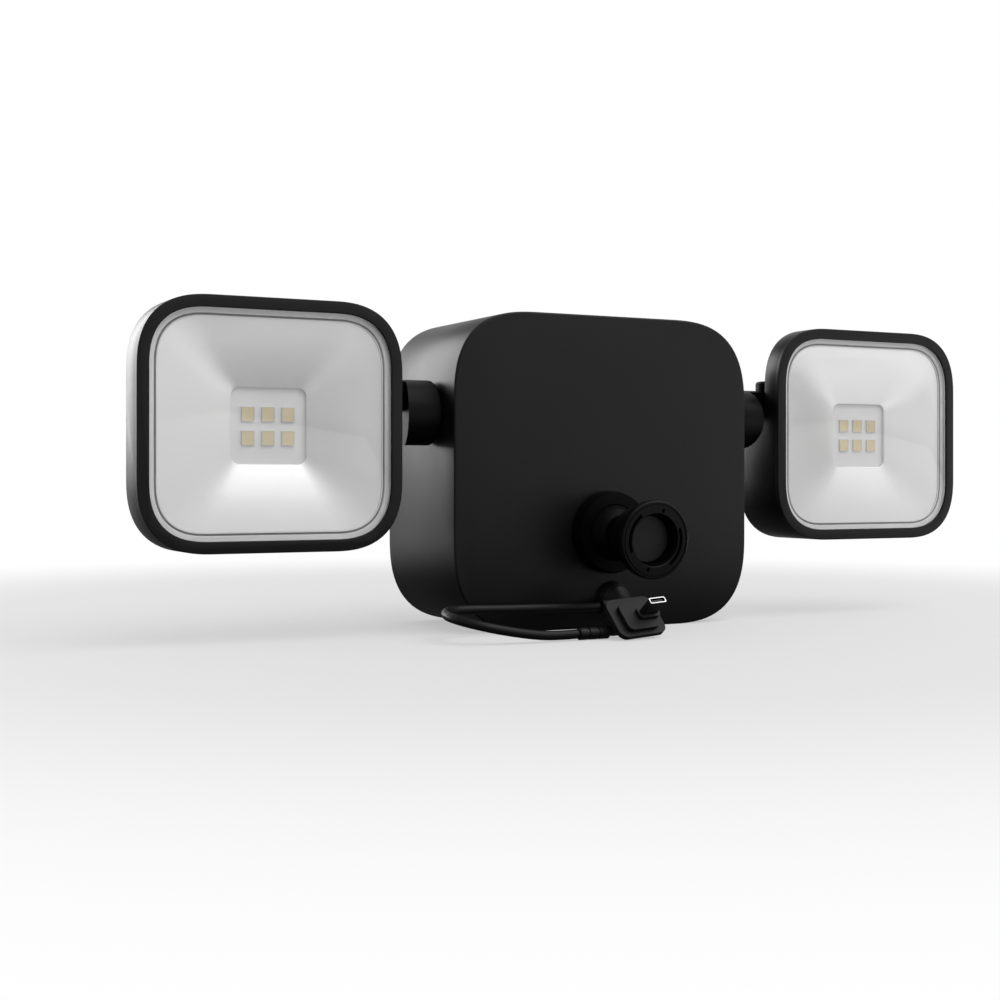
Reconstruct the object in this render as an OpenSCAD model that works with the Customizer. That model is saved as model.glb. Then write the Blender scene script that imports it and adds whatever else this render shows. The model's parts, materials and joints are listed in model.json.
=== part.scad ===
// Twin-head battery floodlight for a security camera, with a ball-jointed camera mount and a power lead.
// Millimetres. X runs along the wall, +Y goes into the wall, +Z is up.
// The origin is the centre of the wall bracket's back face.

/* [Housing] */
// Width of the central housing
body_w = 134; // [130:1:150]
// Height of the central housing
body_h = 123.8; // [120:0.2:140]
// Depth of the central housing from its front face to its rear rim
body_d = 63.2; // [60:0.2:75]
// How far the housing's corner curve reaches along each side
body_corner = 36.3; // [25:0.1:45]
// Thickness of the moulded walls
wall = 2.8; // [2:0.1:4]
// Gap between the wall and the housing's rear rim
rim_gap = 3; // [2:0.5:6]

/* [Lamp heads] */
// Width of a lamp head
head_w = 99; // [90:0.5:105]
// Height of a lamp head
head_h = 91.4; // [85:0.2:100]
// How far the head's corner curve reaches along each side
head_corner = 27; // [15:0.5:32]
// Distance of a head's centre from the middle of the housing
head_x = 136.2; // [130:0.2:150]
// Height of a head's centre above the middle of the housing
head_z = 16.4; // [0:0.2:20]
// Width of the black bezel round the lens
bezel_w = 4.4; // [3:0.1:6]
// Depth of a head along its outer edge
rim_depth = 15.5; // [14:0.5:20]
// Depth of a head beside the arm
thin_depth = 9.5; // [9:0.5:12]
// Depth of the lower rear bulge
bulge_depth = 28; // [24:1:36]

/* [Arms] */
// Radius of an arm's barrel
arm_r = 12.6; // [10:0.1:14]
// Distance of the arm's axis from the wall
arm_y = 46; // [44:0.5:50]
// Height of the arm's axis above the middle of the housing
arm_z = 22.7; // [20:0.1:26]
// Distance of the upright pivot pin from the middle of the housing
pin_x = 95; // [93:0.5:98]

/* [Camera mount] */
// Height of the ball above the middle of the housing
ball_z = -23.9; // [-26:0.1:-20]
// Radius of the ball
ball_r = 12; // [10:0.5:12]
// Downward lean of the stub at rest, in degrees
stub_lean = 3.4; // [0:0.1:10]
// Outer radius of the bayonet ring
ring_r = 14.9; // [12:0.1:16]

/* [Power lead] */
// Diameter of the lead
lead_d = 3.5; // [3:0.1:4.5]
// Width of the plug's sealing plate
seal_w = 22; // [18:0.5:24]
// Length of the plug's sealing plate
seal_l = 16.5; // [14:0.5:18]
// Steepness of the sealing plate above the floor, in degrees
seal_tilt = 50; // [40:1:60]
// Turn of the plug about the upright axis, in degrees
plug_yaw = 8; // [0:1:20]
// Roll of the plug about the tip's own axis, in degrees
plug_roll = 3; // [0:1:8]

/* [Hidden] */
$fn = 64;
eps = 0.01;
fit_gap = 0.3;            // gap between parts of different bodies
running_gap = 0.05;       // radial clearance of a shaft in its bore
body_power = 2.74;        // squareness of the housing's corner curve
head_power = 2.55;        // squareness of the heads' corner curve

rear_y = -rim_gap;
front_y = rear_y - body_d;
inner_front_y = front_y + wall;
floor_z = -body_h / 2;

// Housing back
cover_front_y = -9;
cover_back_y = -6;
cover_gap = 0.3;
bracket_front_y = -5.6;
bracket_w = 96;
bracket_h = 84;
wall_hole_x = 38;
wall_hole_z = 28;
wall_hole_r = 2.4;
stud_x = 20;
stud_z = 22;
cover_screw_x = 50;
cover_screw_z = 45;

// Four D cells
cell_r = 16.9;
cell_l = 60;
cell_y = -27.4;
cell_pitch = 34.6;

// Circuit board
board_w = 84;
board_h = 44;
board_z = 27;
board_y = -60.2;
board_t = 1.6;

// Arms
journal_r = 6;
boss_r = 9.5;
boss_x = 61.8;
arm_start = body_w / 2 + 0.8;
shoulder_x = 82.4;
ear_r = 6.2;
ear_neck = 4.5;
ear_z = arm_z + 0.6;
pin_r = 2.5;
knuckle_r = 5.5;
cap_r = 6.3;
cap_h = 4.7;

// Heads
bezel_y = front_y + 3.5;
bezel_t = 2;
lens_y = bezel_y + 0.5;
lens_t = 2.3;
gasket_t = 0.6;
gasket_w = 3.3;
reflector_front_y = lens_y + lens_t + gasket_t;
led_y = bezel_y + 8;
chip_t = 0.7;
led_board_t = 1.2;
recess_w = 29;
recess_h = 28;
chip_w = 4.7;
chip_h = 5.2;
chip_pitch_x = 7.5;
chip_pitch_z = 8.5;
shell_t = 1.1;

// Camera mount, along the stub's own axis from the ball's centre
ball_y = front_y - 1.5;
neck_r = 7.5;
cup_in = ball_r + fit_gap;
cup_out = cup_in + 1.3;
pocket_r = cup_out + fit_gap;
spigot_r = pocket_r + 1.6;
base_r = 16.2;
lip_y = 5;
ring_front = 34;
ring_t = 4;
collar_start = 20.5;
collar_r = 11.8;
recess_r = 10;
cup_r = 9.4;
cap_seat = ring_front - 7;

// Power lead
boot_x = 2.2;
boot_z = -50.5;
boot_r = 7.2;
boot_h = 8;
outlet_y = front_y - 6.5;
outlet_z = -52.7;
relief_x = -34;
relief_y = -102.4;
relief_z = -59.5;
relief_l = 12.4;
lead_route = [
    [-7, outlet_y, outlet_z], [-15, -72.8, -52.7], [-28, -72.9, -52.5], [-42, -73, -52.2], [-54, -73.1, -51.9],
    [-65, -73.5, -51.6], [-72.1, -75.4, -51.6], [-77.3, -80.6, -51.9], [-79.2, -87.7, -52.6],
    [-77.3, -94.8, -53.7], [-72.1, -100, -55.2], [-65, -102, -56.8], [-56, -102.5, -58.4], [-48, -102.5, -59.4],
    [-41, -102.4, -59.6], [relief_x, relief_y, relief_z]
];

// Plug: the raised frame on its plate, and the moulding and metal tip that stand off its middle
frame_w = 15;
frame_l = 11.6;
frame_x = 11;
frame_z = 7.4;
tip_x = 14.6;
tip_z = 7.6;
tip_w = 7.6;
tip_t = 2.4;

// ---------- outlines and solids ----------

// One corner of a superellipse with the given reach and squareness
function corner_points(reach, power, steps) =
    [for (i = [0:steps]) let (t = 90 * i / steps) [reach * pow(cos(t), 2 / power), reach * pow(sin(t), 2 / power)]];

function turned(points, a) = [for (p = points) [p[0] * cos(a) - p[1] * sin(a), p[0] * sin(a) + p[1] * cos(a)]];

// Rounded rectangle whose corners are superellipse arcs
function squircle(w, h, reach, power, steps = 8) =
    let (c = corner_points(reach, power, steps), x = w / 2 - reach, z = h / 2 - reach)
    concat(
        [for (p = c) p + [x, z]],
        [for (p = turned(c, 90)) p + [-x, z]],
        [for (p = turned(c, 180)) p + [-x, -z]],
        [for (p = turned(c, 270)) p + [x, -z]]
    );

// Flat slab in the plane of the wall, from y0 back to y1
module slab(y0, y1, points) {
    translate([0, y1, 0]) rotate([90, 0, 0]) linear_extrude(y1 - y0) polygon(points);
}

module body_slab(y0, y1, inset) {
    slab(y0, y1, squircle(body_w - 2 * inset, body_h - 2 * inset, body_corner - 0.8 * inset, body_power));
}

module head_slab(y0, y1, inset, steps = 8) {
    reach = head_corner - 1.2 * inset;
    translate([head_x, 0, head_z])
        slab(y0, y1, squircle(head_w - 2 * inset, head_h - 2 * inset, reach, head_power, steps));
}

// Cylinder along Y from y0 to y1
module rod_y(x, z, y0, y1, r) {
    translate([x, y1, z]) rotate([90, 0, 0]) cylinder(h = y1 - y0, r = r);
}

// Cylinder along X from x0 to x1
module rod_x(y, z, x0, x1, r) {
    translate([x0, y, z]) rotate([0, 90, 0]) cylinder(h = x1 - x0, r = r);
}

module block(x0, x1, y0, y1, z0, z1) {
    translate([x0, y0, z0]) cube([x1 - x0, y1 - y0, z1 - z0]);
}

module four(x, z) {
    for (sx = [-1, 1], sz = [-1, 1]) translate([sx * x, 0, sz * z]) children();
}

module left() {
    mirror([1, 0, 0]) children();
}

// ---------- wall bracket and rear cover ----------

module wall_bracket() color("dimgray") difference() {
    union() {
        difference() {
            slab(bracket_front_y, 0, squircle(bracket_w, bracket_h, 10, 2));
            slab(bracket_front_y + 2.2, 1, squircle(bracket_w - 5, bracket_h - 5, 8, 2));
        }
        four(wall_hole_x, wall_hole_z) rod_y(0, 0, bracket_front_y, 0, 5.5);
        // Pad at the middle, which rests on the wall as the screw bosses do
        rod_y(0, 0, bracket_front_y, 0, 9);
    }
    four(wall_hole_x, wall_hole_z) rod_y(0, 0, bracket_front_y - 1, 1, wall_hole_r);
    // Keyholes that hang on the rear cover's studs
    for (sx = [-1, 1], z = [-stud_z, stud_z]) {
        translate([sx * stud_x, 0, z]) {
            rod_y(0, 0, bracket_front_y - 1, bracket_front_y + 3, 2.4);
            rod_y(0, 8, bracket_front_y - 1, bracket_front_y + 3, 4.5);
            block(-2.4, 2.4, bracket_front_y - 1, bracket_front_y + 3, 0, 8);
        }
    }
}

module rear_cover() color("black") difference() {
    union() {
        body_slab(cover_front_y, cover_back_y, wall + cover_gap);
        for (sx = [-1, 1], z = [-stud_z, stud_z]) {
            rod_y(sx * stud_x, z, cover_back_y - eps, -2.4, 2);
            rod_y(sx * stud_x, z, -2.5, -0.9, 4);
        }
    }
    four(cover_screw_x, cover_screw_z) {
        rod_y(0, 0, cover_front_y - 1, cover_back_y + 1, 1.8);
        rod_y(0, 0, cover_back_y - 1.4, cover_back_y + 1, 3.3);
    }
}

module cover_seal() color("gray") difference() {
    body_slab(cover_front_y - 1, cover_front_y, wall + cover_gap + 0.4);
    body_slab(cover_front_y - 2, cover_front_y + 1, wall + cover_gap + 2.4);
    four(cover_screw_x, cover_screw_z) rod_y(0, 0, cover_front_y - 2, cover_front_y + 1, 4.2);
}

module cover_screws() color("silver") four(cover_screw_x, cover_screw_z) difference() {
    union() {
        rod_y(0, 0, cover_front_y - 9, cover_back_y - 1.3, 1.45);
        rod_y(0, 0, cover_back_y - 1.3, cover_back_y, 2.9);
    }
    block(-0.4, 0.4, cover_back_y - 0.8, cover_back_y + 1, -1.9, 1.9);
    block(-1.9, 1.9, cover_back_y - 0.8, cover_back_y + 1, -0.4, 0.4);
}

// ---------- front housing ----------

module front_housing() color([0.13, 0.13, 0.14]) difference() {
    union() {
        difference() {
            body_slab(front_y, rear_y, 0);
            body_slab(inner_front_y, rear_y + 1, wall);
        }
        // Pillars for the cover's screws, joined to the walls
        four(cover_screw_x, cover_screw_z) rod_y(0, 0, inner_front_y - eps, cover_front_y - 1.1, 4);
        // Thick pads where the arms' journals run
        for (s = [-1, 1])
            rod_x(-arm_y, arm_z, s > 0 ? boss_x : -body_w / 2 + 1, s > 0 ? body_w / 2 - 1 : -boss_x, boss_r);
        // Stand-offs for the circuit board
        translate([0, 0, board_z]) four(board_w / 2 - 5, board_h / 2 - 5)
            rod_y(0, 0, inner_front_y - eps, board_y, 3);
    }
    four(cover_screw_x, cover_screw_z) rod_y(0, 0, cover_front_y - 12, cover_front_y + 1, 1.5);
    translate([0, 0, board_z]) four(board_w / 2 - 5, board_h / 2 - 5)
        rod_y(0, 0, front_y + 1.5, board_y + 1, 1.1);
    rod_x(-arm_y, arm_z, -body_w, body_w, journal_r + running_gap);
    rod_y(0, ball_z, front_y - 1, inner_front_y + 1, spigot_r + 0.1);
    rod_y(boot_x, boot_z, front_y - 1, inner_front_y + 1, 3);
}

// ---------- batteries and electronics ----------

module battery_tray() color("darkslategray") difference() {
    block(-60.1, 60.1, -50.5, -38, -cell_pitch, cell_pitch);
    for (z = [-1, 1]) rod_x(cell_y, z * cell_pitch / 2, -62, 62, cell_r + 0.3);
    for (z = [-1, 1]) block(-52, 52, -48, -45, z * cell_pitch / 2 - 13, z * cell_pitch / 2 + 13);
    rod_y(0, ball_z, -51, -46.5, spigot_r + 4);
}

module battery_cell() {
    rod_x(0, 0, -cell_l / 2, cell_l / 2 - 1.4, cell_r);
    rod_x(0, 0, cell_l / 2 - 1.5, cell_l / 2, 4.8);
}

module battery_cells() color("goldenrod") for (sx = [-1, 1], sz = [-1, 1])
    translate([sx * (cell_l / 2 + 0.1), cell_y, sz * cell_pitch / 2]) battery_cell();

module battery_contacts() color("gainsboro") for (sx = [-1, 1], sz = [-1, 1]) {
    x0 = sx > 0 ? 61 : -61.5;
    block(x0, x0 + 0.5, -38, -14, sz * cell_pitch / 2 - 9, sz * cell_pitch / 2 + 9);
    x1 = sx > 0 ? 60.2 : -61;
    rod_x(cell_y, sz * cell_pitch / 2, x1, x1 + 0.8, 4);
}

module main_board() color("darkgreen") difference() {
    block(-board_w / 2, board_w / 2, board_y, board_y + board_t, board_z - board_h / 2, board_z + board_h / 2);
    translate([0, 0, board_z]) four(board_w / 2 - 5, board_h / 2 - 5)
        rod_y(0, 0, board_y - 1, board_y + 3, 1.3);
}

module board_components() color("dimgray") {
    y = board_y + board_t;
    block(-12, 4, y, y + 1.4, 20, 36);
    block(12, 22, y, y + 1, 24, 34);
    block(-34, -22, y, y + 5, 14, 24);
    block(-34, -24, y, y + 6, 30, 38);
    rod_y(28, 14, y, y + 7.5, 4);
    rod_y(16, 14, y, y + 6, 3.2);
    block(6, 18, y, y + 5.5, 38, 44);
}

module board_screws() color("silver") translate([0, 0, board_z]) four(board_w / 2 - 5, board_h / 2 - 5) {
    rod_y(0, 0, board_y - 2.5, board_y + board_t, 1);
    rod_y(0, 0, board_y + board_t, board_y + board_t + 1.4, 2.2);
}

// ---------- camera mount ----------

// Solid of revolution about a line that leaves the ball's centre towards -Y
module turned_part(points, lean = 0) {
    translate([0, ball_y, ball_z]) rotate([90 + lean, 0, 0]) rotate_extrude() polygon(points);
}

function arc(r, a0, a1, steps) = [for (i = [0:steps]) let (a = a0 + (a1 - a0) * i / steps) [r * cos(a), r * sin(a)]];

lip_a = asin(lip_y / cup_in);
dome_a0 = acos(base_r / 16.6);
dome_a1 = asin((lip_y + 1) / 16.6);

module mount_base() color([0.1, 0.1, 0.11]) turned_part(concat(
    [[0, -pocket_r - 1.8], [spigot_r, -pocket_r - 1.8], [spigot_r, -1.5], [base_r, -1.5]],
    [for (p = arc(16.6, dome_a0, dome_a1, 6)) [p[0], p[1] - 1]],
    arc(cup_in, lip_a, 0, 6),
    [[pocket_r, 0]],
    arc(pocket_r, 0, -90, 16)
));

module mount_nut() color("dimgray") difference() {
    rod_y(0, ball_z, inner_front_y, inner_front_y + 4, spigot_r + 3.4);
    rod_y(0, ball_z, inner_front_y - 1, inner_front_y + 5, spigot_r);
    for (a = [0:60:300])
        translate([0, 0, ball_z]) rotate([0, a, 0])
            block(spigot_r + 2, spigot_r + 5, inner_front_y - 1, inner_front_y + 5, -2, 2);
}

module friction_cup() color("gray") turned_part(concat(
    arc(cup_out, -20, -90, 14), arc(cup_in, -90, -20, 14)
));

module ball_stub() color([0.1, 0.1, 0.11]) turned_part(concat(
    [[0, -ball_r]],
    arc(ball_r, -80, acos(neck_r / ball_r), 16),
    [[neck_r, 11], [8.3, 13.5], [9.5, 16], [10.6, 18.6], [10.6, ring_front - ring_t],
     [ring_r - 2.2, ring_front - ring_t], [ring_r - 2.2, ring_front - ring_t + 0.6],
     [cup_r, ring_front - ring_t + 0.6], [cup_r, cap_seat], [0, cap_seat]]
), stub_lean);

module stub_collar() color([0.1, 0.1, 0.11]) turned_part(concat(
    [[10.6, collar_start], [collar_r - 0.6, collar_start]],
    [for (i = [0:6]) for (q = [[collar_r, 0.3], [collar_r, 0.75], [collar_r - 0.6, 1.05]])
        [q[0], collar_start + i * 1.15 + q[1]]],
    [[10.6, collar_start + 7.95]]
), stub_lean);

// Curved slot in the ring's face, from angle a0 to a1 and between two radii
module arc_slot(a0, a1, r0, r1, depth) {
    translate([0, 0, ring_front - depth]) intersection() {
        difference() {
            cylinder(h = depth + 1, r = r1);
            translate([0, 0, -1]) cylinder(h = depth + 3, r = r0);
        }
        linear_extrude(depth + 1)
            polygon([[0, 0], for (i = [0:4]) let (a = a0 + (a1 - a0) * i / 4) [20 * cos(a), 20 * sin(a)]]);
    }
}

module bayonet_ring() color([0.14, 0.14, 0.15]) translate([0, ball_y, ball_z]) rotate([90 + stub_lean, 0, 0])
    difference() {
        rotate_extrude() polygon([
            [recess_r, ring_front - ring_t + 0.6], [ring_r, ring_front - ring_t + 0.6],
            [ring_r, ring_front - 0.5], [ring_r - 0.5, ring_front], [ring_r - 1, ring_front],
            [ring_r - 1.1, ring_front - 0.4], [ring_r - 1.4, ring_front - 0.4], [ring_r - 1.5, ring_front],
            [recess_r + 0.3, ring_front], [recess_r, ring_front - 0.3]
        ]);
        // A slot at each side takes a camera's lugs, and two notches locate it
        for (a = [0, 180]) rotate([0, 0, a]) {
            arc_slot(-55, 23, recess_r + 0.7, recess_r + 2, 1.6);
            rotate([0, 0, 75]) translate([recess_r + 0.7, -0.6, ring_front - 1.2]) cube([1.5, 1.2, 3]);
        }
    }

module centre_cap() color([0.16, 0.16, 0.17]) turned_part([
    [0, cap_seat], [cup_r - 0.2, cap_seat], [cup_r - 0.2, cap_seat + 1.1],
    [cup_r - 0.7, cap_seat + 1.6], [0, cap_seat + 1.6]
], stub_lean);

// ---------- power lead ----------

module lead_boot() color([0.08, 0.08, 0.08]) difference() {
    union() {
        translate([boot_x, front_y, boot_z]) rotate([90, 0, 0]) rotate_extrude()
            polygon(concat([[0, 0]], [for (a = [0:15:90]) [boot_r * cos(a), boot_h * sin(a)]]));
        rod_y(boot_x, boot_z, front_y - 1, inner_front_y + 2, 2.9);
        rod_x(outlet_y, outlet_z, -7, boot_x, 3);
    }
    block(-10, 12, front_y - 12, front_y + 10, boot_z - 12, boot_z - 7.3);
}

// Points along a smooth curve through a route, by cubic interpolation
function spline(p0, p1, p2, p3, t) =
    0.5 * (2 * p1 + (p2 - p0) * t + (2 * p0 - 5 * p1 + 4 * p2 - p3) * t * t + (3 * p1 - p0 - 3 * p2 + p3) * t * t * t);

function smooth_route(r, n) =
    let (last = len(r) - 1, ext = concat([2 * r[0] - r[1]], r, [2 * r[last] - r[last - 1]]))
    concat([for (i = [0:last - 1], k = [0:n - 1]) spline(ext[i], ext[i + 1], ext[i + 2], ext[i + 3], k / n)], [r[last]]);

function unit(v) = v / norm(v);

// Ring of points round one place on the route, square to its direction
function ring_at(p, dir, r, sides) =
    let (side = unit(cross(dir, [0, 0, 1])), up = cross(side, dir))
    [for (k = [0:sides - 1]) p + r * (cos(360 * k / sides) * side + sin(360 * k / sides) * up)];

module tube(path, r, sides) {
    n = len(path);
    dirs = [for (i = [0:n - 1]) unit(path[min(i + 1, n - 1)] - path[max(i - 1, 0)])];
    dir_0 = [-1, 0, 0];
    rings = [for (i = [0:n - 1]) each ring_at(path[i], i == 0 ? dir_0 : i == n - 1 ? -dir_0 : dirs[i], r, sides)];
    sides_faces = [for (i = [0:n - 2], k = [0:sides - 1])
        [i * sides + k, i * sides + (k + 1) % sides, (i + 1) * sides + (k + 1) % sides, (i + 1) * sides + k]];
    start_face = [[for (k = [sides - 1:-1:0]) k]];
    end_face = [[for (k = [0:sides - 1]) (n - 1) * sides + k]];
    polyhedron(concat(rings), concat(sides_faces, start_face, end_face));
}

module lead_cord() color([0.08, 0.08, 0.08]) tube(smooth_route(lead_route, 3), lead_d / 2, 8);

// Sleeve of three ribs from the cord into the plug
module lead_relief() color([0.08, 0.08, 0.08]) translate([relief_x, relief_y, relief_z])
    rotate([0, 90, 0]) rotate_extrude() polygon([
        [0, 0], [1.9, 0], [2.2, 0.4], [2.2, 3.2], [1.9, 3.5], [1.9, 4], [2.25, 4.3], [2.25, 7.3],
        [1.9, 7.6], [1.9, 8.1], [2.3, 8.4], [2.3, relief_l], [0, relief_l]
    ]);

module in_plug() {
    translate([-21.5, -111.2, floor_z + 0.05]) rotate([0, 0, plug_yaw]) rotate([seal_tilt - 90, -plug_roll, 0])
        children();
}

// Plate with round corners, standing on the plug's local floor
module plate(x0, x1, y0, y1, z0, z1, r) {
    translate([0, y1, 0]) rotate([90, 0, 0]) linear_extrude(y1 - y0)
        translate([(x0 + x1) / 2, (z0 + z1) / 2]) polygon(squircle(x1 - x0, z1 - z0, r, 2, 5));
}

// Block centred on the tip's axis, w wide and t thick, from y0 to y1
module on_tip(w, t, y0, y1, r) {
    plate(tip_x - w / 2, tip_x + w / 2, y0, y1, tip_z - t / 2, tip_z + t / 2, r);
}

module plug_seal() color([0.1, 0.1, 0.1]) in_plug() difference() {
    union() {
        plate(0, seal_w, -2, 0, 0, seal_l, 3.4);
        plate(frame_x - frame_w / 2, frame_x + frame_w / 2, -4, -2 + eps,
            frame_z - frame_l / 2, frame_z + frame_l / 2, 2.4);
        on_tip(10, 5, -5.5, -1, 1.8);
    }
    on_tip(tip_w + 0.2, tip_t + 0.2, -7, 1, 0.7);
}

module plug_body() color([0.08, 0.08, 0.08]) difference() {
    in_plug() plate(1.5, 20.5, 0, 6.5, 6.2, seal_l - 1, 2.4);
    block(-60, 40, -160, 0, floor_z - 20, floor_z + 0.05);
}

module plug_tip() color("silver") in_plug() difference() {
    on_tip(tip_w, tip_t, -12.5, 0, 0.7);
    on_tip(tip_w - 0.8, tip_t - 0.7, -13, -5.5, 0.5);
}

module plug_tongue() color("black") in_plug() on_tip(tip_w - 2.4, 0.7, -12, -5.5, 0.3);

// ---------- arms, drawn for the right side ----------

module arm() color([0.12, 0.12, 0.13]) difference() {
    union() {
        // Barrel with an eased inner end, cut away round the ear that carries the pivot pin
        intersection() {
            translate([0, -arm_y, arm_z]) rotate([0, 90, 0]) rotate_extrude() polygon([
                [0, arm_start], [arm_r - 1.6, arm_start], [arm_r - 0.6, arm_start + 0.4],
                [arm_r, arm_start + 1.4], [arm_r, pin_x + ear_r + 2], [0, pin_x + ear_r + 2]
            ]);
            union() {
                // The shoulder slants back, for the head's bulge
                translate([0, -arm_y, arm_z - 20]) linear_extrude(40) polygon([
                    [arm_start - 1, -20], [shoulder_x + 2, -20], [shoulder_x - 8.7, 20], [arm_start - 1, 20]
                ]);
                block(shoulder_x - 8, pin_x, -arm_y - ear_neck, -arm_y + ear_neck, ear_z, arm_z + 20);
                translate([pin_x, -arm_y, ear_z]) cylinder(h = 20, r = ear_r);
            }
        }
        // Journal that runs in the housing's side
        rod_x(-arm_y, arm_z, boss_x - 1.3, arm_start + 1, journal_r);
    }
    translate([pin_x, -arm_y, 0]) cylinder(h = 60, r = pin_r);
    // Groove for the retaining clip, and the wire passage
    difference() {
        rod_x(-arm_y, arm_z, boss_x - 0.9, boss_x - 0.2, journal_r + 1);
        rod_x(-arm_y, arm_z, boss_x - 1, boss_x, journal_r - 0.8);
    }
    rod_x(-arm_y, arm_z, boss_x - 3, arm_start + 6, 3);
    // Flat seat under the pivot pin's cap
    block(pin_x - cap_r - 0.5, pin_x + 20, -arm_y - arm_r, -arm_y + arm_r, arm_z + arm_r - 0.5, arm_z + arm_r + 5);
}

module arm_washer() color("dimgray") difference() {
    rod_x(-arm_y, arm_z, arm_start - 0.5, arm_start, arm_r - 3);
    rod_x(-arm_y, arm_z, arm_start - 1, arm_start + 1, journal_r);
}

module arm_clip() color("silver") difference() {
    rod_x(-arm_y, arm_z, boss_x - 0.85, boss_x - 0.25, journal_r + 1.6);
    rod_x(-arm_y, arm_z, boss_x - 2, boss_x + 1, journal_r - 0.7);
    block(boss_x - 2, boss_x + 1, -arm_y - 1.2, -arm_y + 1.2, arm_z, arm_z + 12);
}

module pivot_pin() color([0.12, 0.12, 0.13]) {
    cap_z = arm_z + arm_r - 0.5;
    translate([pin_x, -arm_y, 4]) cylinder(h = cap_z - 4, r = pin_r);
    translate([pin_x, -arm_y, cap_z]) rotate_extrude() polygon([
        [0, 0], [cap_r, 0], [cap_r, cap_h - 1], [cap_r - 0.3, cap_h - 0.4], [cap_r - 1, cap_h], [0, cap_h]
    ]);
}

// ---------- lamp heads, drawn for the right side ----------

shell_front_y = bezel_y + bezel_t;
thin_y = bezel_y + thin_depth;
rim_y = bezel_y + rim_depth;
bulge_y = bezel_y + bulge_depth;
head_in = head_x - head_w / 2;
head_out = head_x + head_w / 2;
bulge_flat = 35;
bulge_top_z = ear_z - 0.3;
bulge_round_z = -8;

// Back of the head's upper part: a plane that gets deeper towards the outer edge
module thin_wedge(t) {
    translate([0, 0, head_z - head_h]) linear_extrude(2 * head_h) polygon([
        [head_in - 5, shell_front_y - 2], [head_out + 5, shell_front_y - 2], [head_out + 5, rim_y - t + 0.3],
        [head_out, rim_y - t], [head_in, thin_y - t], [head_in - 5, thin_y - t - 0.3]
    ]);
}

// The lower bulge: flat behind the arm, sloping down to the rim at the outer edge
module bulge(t) {
    intersection() {
        translate([0, 0, head_z - head_h]) linear_extrude(2 * head_h) polygon([
            [head_in - 5, shell_front_y - 2], [head_out + 5, shell_front_y - 2], [head_out + 5, rim_y - t - 1],
            [head_out, rim_y - t], [head_in + bulge_flat, bulge_y - t], [head_in - 5, bulge_y - t]
        ]);
        translate([head_in - 5, 0, 0]) rotate([90, 0, 90]) linear_extrude(head_w + 10) polygon(concat(
            [[shell_front_y - 2, head_z - head_h], [bulge_y - t, head_z - head_h]],
            [for (a = [0:10:90]) [
                thin_y - 1.3 + (bulge_y - thin_y + 1.3 - t) * cos(a),
                bulge_round_z + (bulge_top_z - bulge_round_z - t) * sin(a)
            ]],
            [[shell_front_y - 2, bulge_top_z - t]]
        ));
    }
}

module rear_shell() color([0.13, 0.13, 0.14]) difference() {
    union() {
        difference() {
            intersection() {
                head_slab(shell_front_y, bulge_y + 1, 0);
                union() {
                    thin_wedge(0);
                    bulge(0);
                }
            }
            intersection() {
                head_slab(shell_front_y - 1, bulge_y, 2.4);
                union() {
                    thin_wedge(shell_t);
                    bulge(2);
                }
            }
        }
        // Knuckle that turns on the pivot pin
        translate([pin_x, -arm_y, 5]) cylinder(h = bulge_top_z - 5, r = knuckle_r);
    }
    translate([pin_x, -arm_y, 3]) cylinder(h = 30, r = pin_r + running_gap);
}

module bezel() color([0.11, 0.11, 0.12]) difference() {
    union() {
        head_slab(bezel_y, shell_front_y, 0);
        head_slab(shell_front_y - eps, lens_y + lens_t, 2.5);
    }
    head_slab(bezel_y - 1, lens_y + lens_t + 1, bezel_w);
}

module lens() color([0.8, 0.85, 0.88, 0.35]) head_slab(lens_y, lens_y + lens_t, bezel_w + 0.05);

module gasket() color("lightgray") difference() {
    head_slab(lens_y + lens_t, lens_y + lens_t + gasket_t, bezel_w + 0.05);
    head_slab(lens_y + lens_t - 1, lens_y + lens_t + gasket_t + 1, bezel_w + gasket_w);
}

// Four-sided tray that narrows from the lens to the LED recess
module reflector() color("lightgray") {
    back_y = led_y + chip_t - 0.1;
    difference() {
        head_slab(reflector_front_y, back_y, bezel_w + 0.3);
        hull() {
            head_slab(reflector_front_y - 0.1, reflector_front_y, bezel_w + gasket_w + 0.1, 5);
            translate([head_x, 0, head_z])
                slab(led_y - 0.6, led_y - 0.5, squircle(recess_w, recess_h, 3, 2, 4));
        }
        translate([head_x, 0, head_z]) slab(led_y - 1, back_y + 1, squircle(recess_w - 1, recess_h - 1, 3, 2, 4));
    }
}

module led_board() color("whitesmoke") translate([head_x, 0, head_z])
    slab(led_y + chip_t, led_y + chip_t + led_board_t, squircle(recess_w, recess_h, 2, 2, 4));

module led_chips() color([0.95, 0.9, 0.7]) for (i = [-1:1], k = [-0.5, 0.5])
    block(head_x + i * chip_pitch_x - chip_w / 2, head_x + i * chip_pitch_x + chip_w / 2, led_y, led_y + chip_t,
        head_z + k * chip_pitch_z - chip_h / 2, head_z + k * chip_pitch_z + chip_h / 2);

module heat_sink() color("silver") {
    base_y = led_y + chip_t + led_board_t;
    block(head_x - 24, head_x + 24, base_y, base_y + 2, -22, 8);
    for (i = [-4:4]) block(head_x + i * 5 - 0.7, head_x + i * 5 + 0.7, base_y + 2 - eps, base_y + 7, -22, 5);
}

// ---------- assembly ----------

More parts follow.
